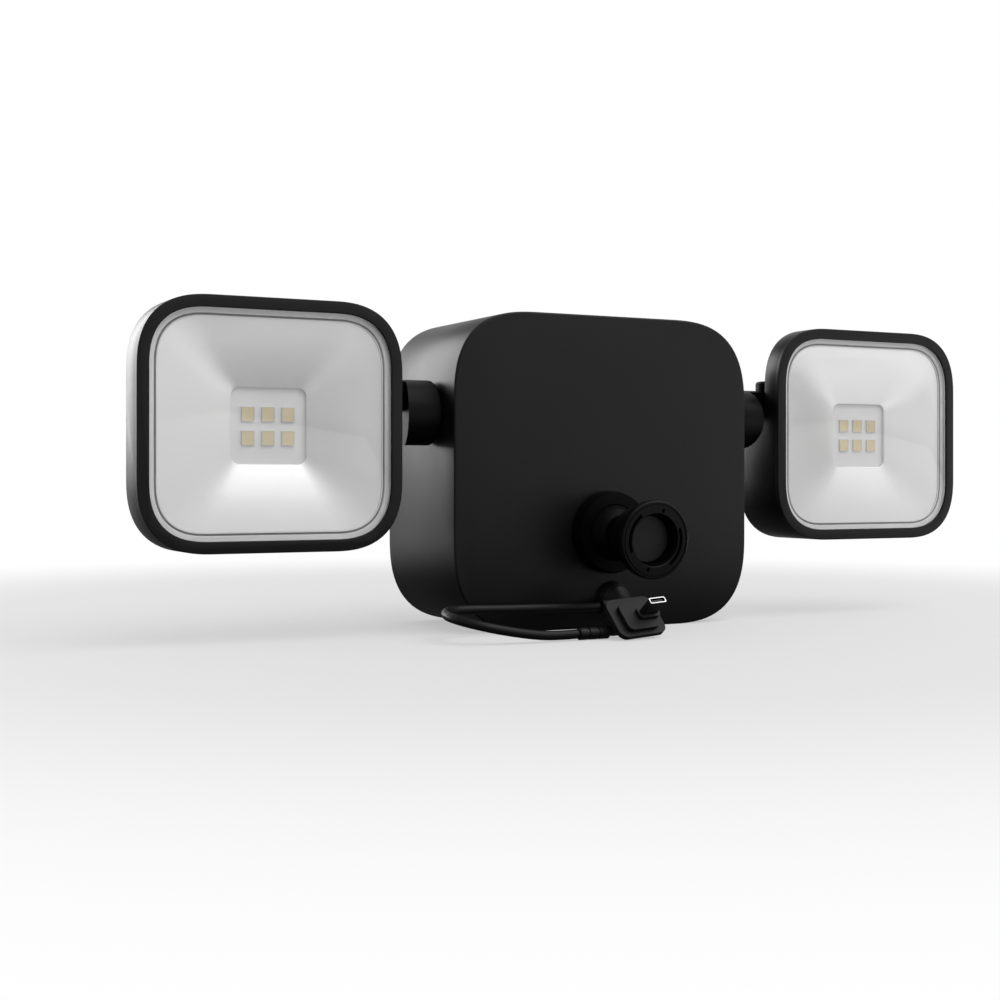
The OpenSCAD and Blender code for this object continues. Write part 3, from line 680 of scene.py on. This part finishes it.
# %% Build the handling
CLOUD_LOW, CLOUD_HIGH = 0.3, 0.7
handling, h_in, h_out = new_group(
    "handling",
    {"Scale": 25.0, "Low": 0.3, "High": 0.4, "Color": (1, 1, 1, 1), "Shade": 0.9},
    {"Roughness": "NodeSocketFloat", "Color": "NodeSocketColor"})
place = node_in(handling, "ShaderNodeTexCoord")
cloud = node_in(handling, "ShaderNodeTexNoise",
                [(place.outputs["Object"], "Vector"), (h_in.outputs["Scale"], "Scale")],
                Detail=4.0, Roughness=0.55)
gloss = ramp(handling, cloud.outputs[0], CLOUD_LOW, CLOUD_HIGH)
handling.links.new(h_in.outputs["Low"], gloss.inputs["To Min"])
handling.links.new(h_in.outputs["High"], gloss.inputs["To Max"])
tint = ramp(handling, cloud.outputs[0], CLOUD_LOW, CLOUD_HIGH)
handling.links.new(h_in.outputs["Shade"], tint.inputs["To Min"])
shaded = node_in(handling, "ShaderNodeVectorMath", [(h_in.outputs["Color"], 0), (tint.outputs[0], 1)],
                 operation="MULTIPLY")
handling.links.new(gloss.outputs[0], h_out.inputs["Roughness"])
handling.links.new(shaded.outputs[0], h_out.inputs["Color"])
print("group", handling.name)

# %% [markdown]
# ## The finishes
# Each finish is one Principled shader fed by the two groups. What is the same all over a surface,
# such as how metallic it is, is set on the shader itself. A finish is told its colour, its lowest and
# highest roughness, and its grain's fineness and depth.


# %% Recipe for a finish
FINISHES = {}


def finish(name, color, rough, grain_scale, grain_depth, shade=0.92, stretch=1.0, cloud=25, **sockets):
    """A material by this name. rough is the lowest and highest roughness."""
    material = bpy.data.materials.new(name)
    material.use_nodes = True
    tree = material.node_tree
    shader = tree.nodes["Principled BSDF"]
    for key, value in sockets.items():
        shader.inputs[key.replace("_", " ")].default_value = value
    fine = node_in(tree, "ShaderNodeGroup", node_tree=grain)
    fine.inputs["Scale"].default_value = grain_scale
    fine.inputs["Depth"].default_value = grain_depth
    fine.inputs["Stretch"].default_value = stretch
    worn = node_in(tree, "ShaderNodeGroup", node_tree=handling)
    low, high = rough
    wear = {"Low": low, "High": high, "Color": (*color, 1), "Shade": shade, "Scale": cloud}
    for key, value in wear.items():
        worn.inputs[key].default_value = value
    tree.links.new(worn.outputs["Color"], shader.inputs["Base Color"])
    tree.links.new(worn.outputs["Roughness"], shader.inputs["Roughness"])
    tree.links.new(fine.outputs["Normal"], shader.inputs["Normal"])
    FINISHES[name] = material


def grey(value):
    """A neutral colour of one brightness."""
    return (value, value, value)


print("recipe ready")

# %% [markdown]
# ## Black plastics and rubbers
# Everything outside is black, but not one black. A lower specular level is a plastic that gives back less
# light: the body and bezels have some sheen, the arms and the ball's socket almost none. Those two plastics
# are also darker copies of the body's black, a painted shade for the shade these parts sit in, and the
# socket plastic is the deepest, so the ball and its base run together in the dark.

# %% Mix the plastics and rubbers
finish("housing_plastic", grey(0.006), (0.34, 0.42), 1500, 0.12, Specular_IOR_Level=0.24)
finish("bezel_plastic", grey(0.006), (0.38, 0.46), 1600, 0.10, Specular_IOR_Level=0.25)
finish("mount_plastic", grey(0.003), (0.32, 0.42), 1800, 0.08, Specular_IOR_Level=0.12)
# painted shade: a darker, duller copy of the black for the ball's base, stub and collar, which sit in shade
finish("socket_shaded_plastic", grey(0.002), (0.36, 0.46), 1800, 0.08, Specular_IOR_Level=0.06)
# painted shade: a darker, duller copy of the black for the arms and pins, which sit in shade
finish("arm_shaded_plastic", grey(0.003), (0.36, 0.46), 1500, 0.12, Specular_IOR_Level=0.12)
finish("bracket_plastic", grey(0.03), (0.5, 0.6), 1200, 0.15)
finish("inner_plastic", grey(0.05), (0.45, 0.55), 1200, 0.15)
finish("seal_rubber", grey(0.010), (0.45, 0.55), 1400, 0.2, Specular_IOR_Level=0.28)
finish("lead_rubber", grey(0.008), (0.36, 0.48), 1600, 0.15, Specular_IOR_Level=0.25)
print(len(FINISHES), "plastics and rubbers")

# %% [markdown]
# ## Metals, cells, boards and the lamp's insides
# The metals are rolled or drawn, so their grain is stretched. The reflector is only partly metallic:
# a satin metal coat over white plastic, which stays bright where it reflects something dark.

# %% Mix the metals and the lamp's finishes
finish("screw_steel", grey(0.55), (0.25, 0.38), 2400, 0.1, stretch=0.1, Metallic=1.0)
finish("contact_steel", grey(0.62), (0.25, 0.35), 2000, 0.1, stretch=0.1, Metallic=1.0)
# painted reflection: the tip's steel is made dark grey, standing in for the dark room it mirrors
finish("tip_steel", grey(0.07), (0.28, 0.38), 2600, 0.08, stretch=0.1, Metallic=1.0)
finish("cell_can", (0.42, 0.25, 0.05), (0.25, 0.35), 800, 0.05)
finish("board_green", (0.01, 0.09, 0.035), (0.25, 0.35), 1200, 0.1)
finish("chip_black", grey(0.015), (0.45, 0.55), 1800, 0.1)
finish("gasket_clear", grey(0.85), (0.28, 0.36), 900, 0.05)
finish("reflector_satin", grey(0.86), (0.29, 0.34), 1800, 0.04, 0.97, Metallic=0.65)
finish("led_board_white", grey(0.90), (0.35, 0.45), 1500, 0.05)
finish("led_phosphor", (0.80, 0.69, 0.45), (0.5, 0.6), 4000, 0.25, 0.94, cloud=300)
finish("heat_sink_metal", grey(0.6), (0.3, 0.42), 2200, 0.12, stretch=0.08, Metallic=1.0)
# painted shade: the groove's darker grey stands in for the shadow that falls into it behind the glass
finish("groove_painted_shade", grey(0.20), (0.4, 0.5), 1200, 0.05)
finish("ceramic_white", grey(0.75), (0.4, 0.5), 3000, 0.1)
print(len(FINISHES), "finishes")

# %% [markdown]
# ## The lens glass
# Full transmission makes a shader bend light as glass does, and a faint smear keeps it from being
# perfect. It would shade the reflector behind it, because a ray that looks for a lamp isn't bent and
# counts the glass as solid. Such a ray therefore meets a clear shader and passes straight through.

# %% Mix the glass
CLEAR_GREY = 0.96
glass = bpy.data.materials.new("lens_glass")
glass.use_nodes = True
tree = glass.node_tree
shader = tree.nodes["Principled BSDF"]
shader.inputs["Base Color"].default_value = (*grey(0.985), 1)
shader.inputs["Transmission Weight"].default_value = 1.0
shader.inputs["IOR"].default_value = 1.45
smear = node_in(tree, "ShaderNodeGroup", node_tree=handling)
smear.inputs["Low"].default_value = 0.03
smear.inputs["High"].default_value = 0.05
tree.links.new(smear.outputs["Roughness"], shader.inputs["Roughness"])
path = node_in(tree, "ShaderNodeLightPath")
clear = node_in(tree, "ShaderNodeBsdfTransparent", Color=(*grey(CLEAR_GREY), 1))
mix = node_in(tree, "ShaderNodeMixShader",
              [(path.outputs["Is Shadow Ray"], 0), (shader.outputs[0], 1), (clear.outputs[0], 2)])
tree.links.new(mix.outputs[0], tree.nodes["Material Output"].inputs["Surface"])
FINISHES["lens_glass"] = glass
print("glass", glass.name)

# %% [markdown]
# ## The plug's metal tip
# The shell of a small plug is steel. Its colour is a dark grey, a painted reflection of the dark room it
# mirrors, and a painted highlight rings its mouth where the cut edge would catch the light. How far a point
# lies along the tip tells the two apart, so that distance fades one colour into the other.

# %% Paint a highlight round the tip's mouth
TIP_AXIS = Vector((0.073, -0.763, 0.642)).normalized()
MOUTH_HIGHLIGHT_BAND = (0.4 * MM, 0.2 * MM)
MOUTH_HIGHLIGHT_GREY = 0.75
mouth = max(TIP_AXIS.dot(v.co) for v in nodes["plug_tip"].data.vertices)
tree = FINISHES["tip_steel"].node_tree
shader = tree.nodes["Principled BSDF"]
worn_color = shader.inputs["Base Color"].links[0].from_socket
place = node_in(tree, "ShaderNodeTexCoord")
along = node_in(tree, "ShaderNodeVectorMath", [(place.outputs["Object"], 0)], operation="DOT_PRODUCT")
along.inputs[1].default_value = TIP_AXIS
# painted highlight: a pale band round the tip's mouth stands in for light caught on the cut edge
mouth_highlight = ramp(tree, along.outputs["Value"], mouth - MOUTH_HIGHLIGHT_BAND[0], mouth - MOUTH_HIGHLIGHT_BAND[1])
highlighted_mouth = node_in(tree, "ShaderNodeMix", [(mouth_highlight.outputs[0], "Factor")], data_type="RGBA")
tree.links.new(worn_color, highlighted_mouth.inputs[6])
highlighted_mouth.inputs[7].default_value = (*grey(MOUTH_HIGHLIGHT_GREY), 1)
tree.links.new(highlighted_mouth.outputs[2], shader.inputs["Base Color"])
print("tip's mouth at", round(mouth / MM, 1), "mm along its axis")

# %% [markdown]
# ## Every piece gets its finish
# The frame's record says which finish each solid has, so a loop hands them out. A few pieces of the mount
# and the arms then take a darker, duller copy of their black instead, a painted shade for the shade they sit
# in.

# %% Give every piece its finish
slot_of = {part["node"]: part["material_slot"] for part in frame["record"]["subparts"]}
for name, node in nodes.items():
    node.data.materials.clear()
    node.data.materials.append(FINISHES[slot_of[name]])
# the ball's base, stub and collar take the painted-shade copy of the black
for name in ("mount_base", "ball_stub", "stub_collar"):
    nodes[name].data.materials[0] = FINISHES["socket_shaded_plastic"]
# the arms and their pins take the painted-shade copy of the black
for side in ("left", "right"):
    nodes[f"{side}_arm"].data.materials[0] = FINISHES["arm_shaded_plastic"]
    nodes[f"{side}_pivot_pin"].data.materials[0] = FINISHES["arm_shaded_plastic"]
for piece in (housing, relief, lead, *pieces.values()):
    piece.data.materials.clear()
    piece.data.materials.append(FINISHES[piece["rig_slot"]])
print("finished", len(nodes), "nodes")

# %% [markdown]
# ## Two pieces with two colours
# The seat's groove gets a darker grey than the seat, a painted shade for the shadow that falls into it, and
# a chip's phosphor face is yellow in a white body. Both are one piece on the real lamp, so each keeps one
# mesh and its faces are sorted by place.


# %% Paint the groove's shade and the chips
def paint(piece, material, test):
    """A second material on the faces that pass the test."""
    piece.data.materials.append(material)
    for face in piece.data.polygons:
        if test(face):
            face.material_index = 1


for side in ("left", "right"):
    # the groove's faces take the painted shade
    paint(pieces[f"{side}_gasket"], FINISHES["groove_painted_shade"],
          lambda f: abs(f.center.y - GROOVE_Y * MM) < 5 * NEAR)
    paint(pieces[f"{side}_led_chips"], FINISHES["ceramic_white"],
          lambda f: not (f.normal.y < -0.9 and abs(f.center.y - (CHIP_Y + CHIP_DEEP) * MM) < 2 * NEAR))
print("painted the grooves and the chips")

# %% [markdown]
# ## The floor
# A pale floor that takes the object's shadow near it and fades into a white room further out. Only
# the camera sees it so. To every other ray it is a plain glow, dim beside the object and brighter
# further out and to the right, because that is what a black, satin body mirrors, and a floor that
# was white all over would turn it grey. Light Path tells the two kinds of ray apart.

# %% Lay the floor
PAPER_GREY = 0.72
FADE_START, FADE_END = 0.24, 0.52
FADE_LEAST = 0.45
GLOW_START, GLOW_END, GLOW_LEAST = 0.12, 0.45, 0.08
LEFT_X, RIGHT_X = -0.15, 0.25
LEFT_GLOW, RIGHT_GLOW = 0.5, 1.25
bpy.ops.object.select_all(action="DESELECT")
bpy.ops.mesh.primitive_plane_add(size=12, location=(0, 0, FLOOR))
floor = bpy.context.object
floor.name = "floor"
pale = bpy.data.materials.new("floor_paper")
pale.use_nodes = True
tree = pale.node_tree
paper = tree.nodes["Principled BSDF"]
paper.inputs["Base Color"].default_value = (*grey(PAPER_GREY), 1)
paper.inputs["Roughness"].default_value = 0.8
place = node_in(tree, "ShaderNodeTexCoord")
reach = node_in(tree, "ShaderNodeVectorMath", [(place.outputs["Object"], 0)], operation="LENGTH")
fade = ramp(tree, reach.outputs["Value"], FADE_START, FADE_END, low=FADE_LEAST,
            interpolation_type="SMOOTHSTEP")
white = node_in(tree, "ShaderNodeEmission", Strength=1.0)
blend = node_in(tree, "ShaderNodeMixShader",
                [(fade.outputs[0], 0), (paper.outputs[0], 1), (white.outputs[0], 2)])
far = ramp(tree, reach.outputs["Value"], GLOW_START, GLOW_END, low=GLOW_LEAST)
across = node_in(tree, "ShaderNodeSeparateXYZ", [(place.outputs["Object"], 0)])
side = ramp(tree, across.outputs["X"], LEFT_X, RIGHT_X, low=LEFT_GLOW, high=RIGHT_GLOW)
bounce = node_in(tree, "ShaderNodeMath", [(far.outputs[0], 0), (side.outputs[0], 1)], operation="MULTIPLY")
table = node_in(tree, "ShaderNodeEmission", [(bounce.outputs[0], "Strength")])
path = node_in(tree, "ShaderNodeLightPath")
seen = node_in(tree, "ShaderNodeMixShader",
               [(path.outputs["Is Camera Ray"], 0), (table.outputs[0], 1), (blend.outputs[0], 2)])
tree.links.new(seen.outputs[0], tree.nodes["Material Output"].inputs["Surface"])
floor.data.materials.append(pale)
print("floor at", round(FLOOR / MM, 1), "mm")

# %% [markdown]
# ## The lights
# A broad soft light above and in front on the right fills the faces that look up and forwards. A
# smaller one behind on the left is there for its reflection alone, the bright band down the body's
# satin side, so it is kept out of diffuse light, where it would wash out the black.


# %% Hang the lights
def softbox(name, place, target, size, power):
    """A soft rectangular light that faces its target and isn't seen itself."""
    bpy.ops.object.light_add(type="AREA", location=place)
    lamp = bpy.context.object
    lamp.name = name
    lamp.rotation_euler = (Vector(target) - Vector(place)).to_track_quat("-Z", "Y").to_euler()
    lamp.data.shape = "RECTANGLE"
    lamp.data.size, lamp.data.size_y = size
    lamp.data.energy = power
    lamp.visible_camera = False
    return lamp


TOP_POWER, SIDE_POWER = 14, 13
TOP_SIZE, SIDE_SIZE = (2.2, 1.3), (0.9, 0.75)
softbox("top_light", (0.45, -0.85, 1.3), (0.05, -0.05, 0), TOP_SIZE, TOP_POWER)
side_light = softbox("side_light", (-0.62, 1.0, 0.42), (-0.1, 0, 0.08), SIDE_SIZE, SIDE_POWER)
side_light.visible_diffuse = False

# %% [markdown]
# ## The room
# The room is white to the camera. To every other ray it is dark below the horizon, softly lit above
# it and brighter to the right, so that the black sides keep their modelling.

# %% Light the room
HORIZON = 0.03
ROOM_LOW, ROOM_HIGH = 0.03, 0.56
ROOM_LEFT, ROOM_RIGHT = 0.6, 1.3
world = bpy.data.worlds.new("room")
bpy.context.scene.world = world
world.use_nodes = True
tree = world.node_tree
background = tree.nodes["Background"]
background.inputs["Color"].default_value = (1, 1, 1, 1)
place = node_in(tree, "ShaderNodeTexCoord")
across = node_in(tree, "ShaderNodeSeparateXYZ", [(place.outputs["Generated"], 0)])
dome = ramp(tree, across.outputs["Z"], 0, HORIZON, low=ROOM_LOW, high=ROOM_HIGH)
side = ramp(tree, across.outputs["X"], -0.15, 0.35, low=ROOM_LEFT, high=ROOM_RIGHT)
glow = node_in(tree, "ShaderNodeMath", [(dome.outputs[0], 0), (side.outputs[0], 1)], operation="MULTIPLY")
path = node_in(tree, "ShaderNodeLightPath")
strength = node_in(tree, "ShaderNodeMath", [(glow.outputs[0], 0), (path.outputs["Is Camera Ray"], 1)],
                   operation="MAXIMUM")
tree.links.new(strength.outputs[0], background.inputs["Strength"])
bpy.context.scene.view_settings.view_transform = "Standard"
print("room", world.name)
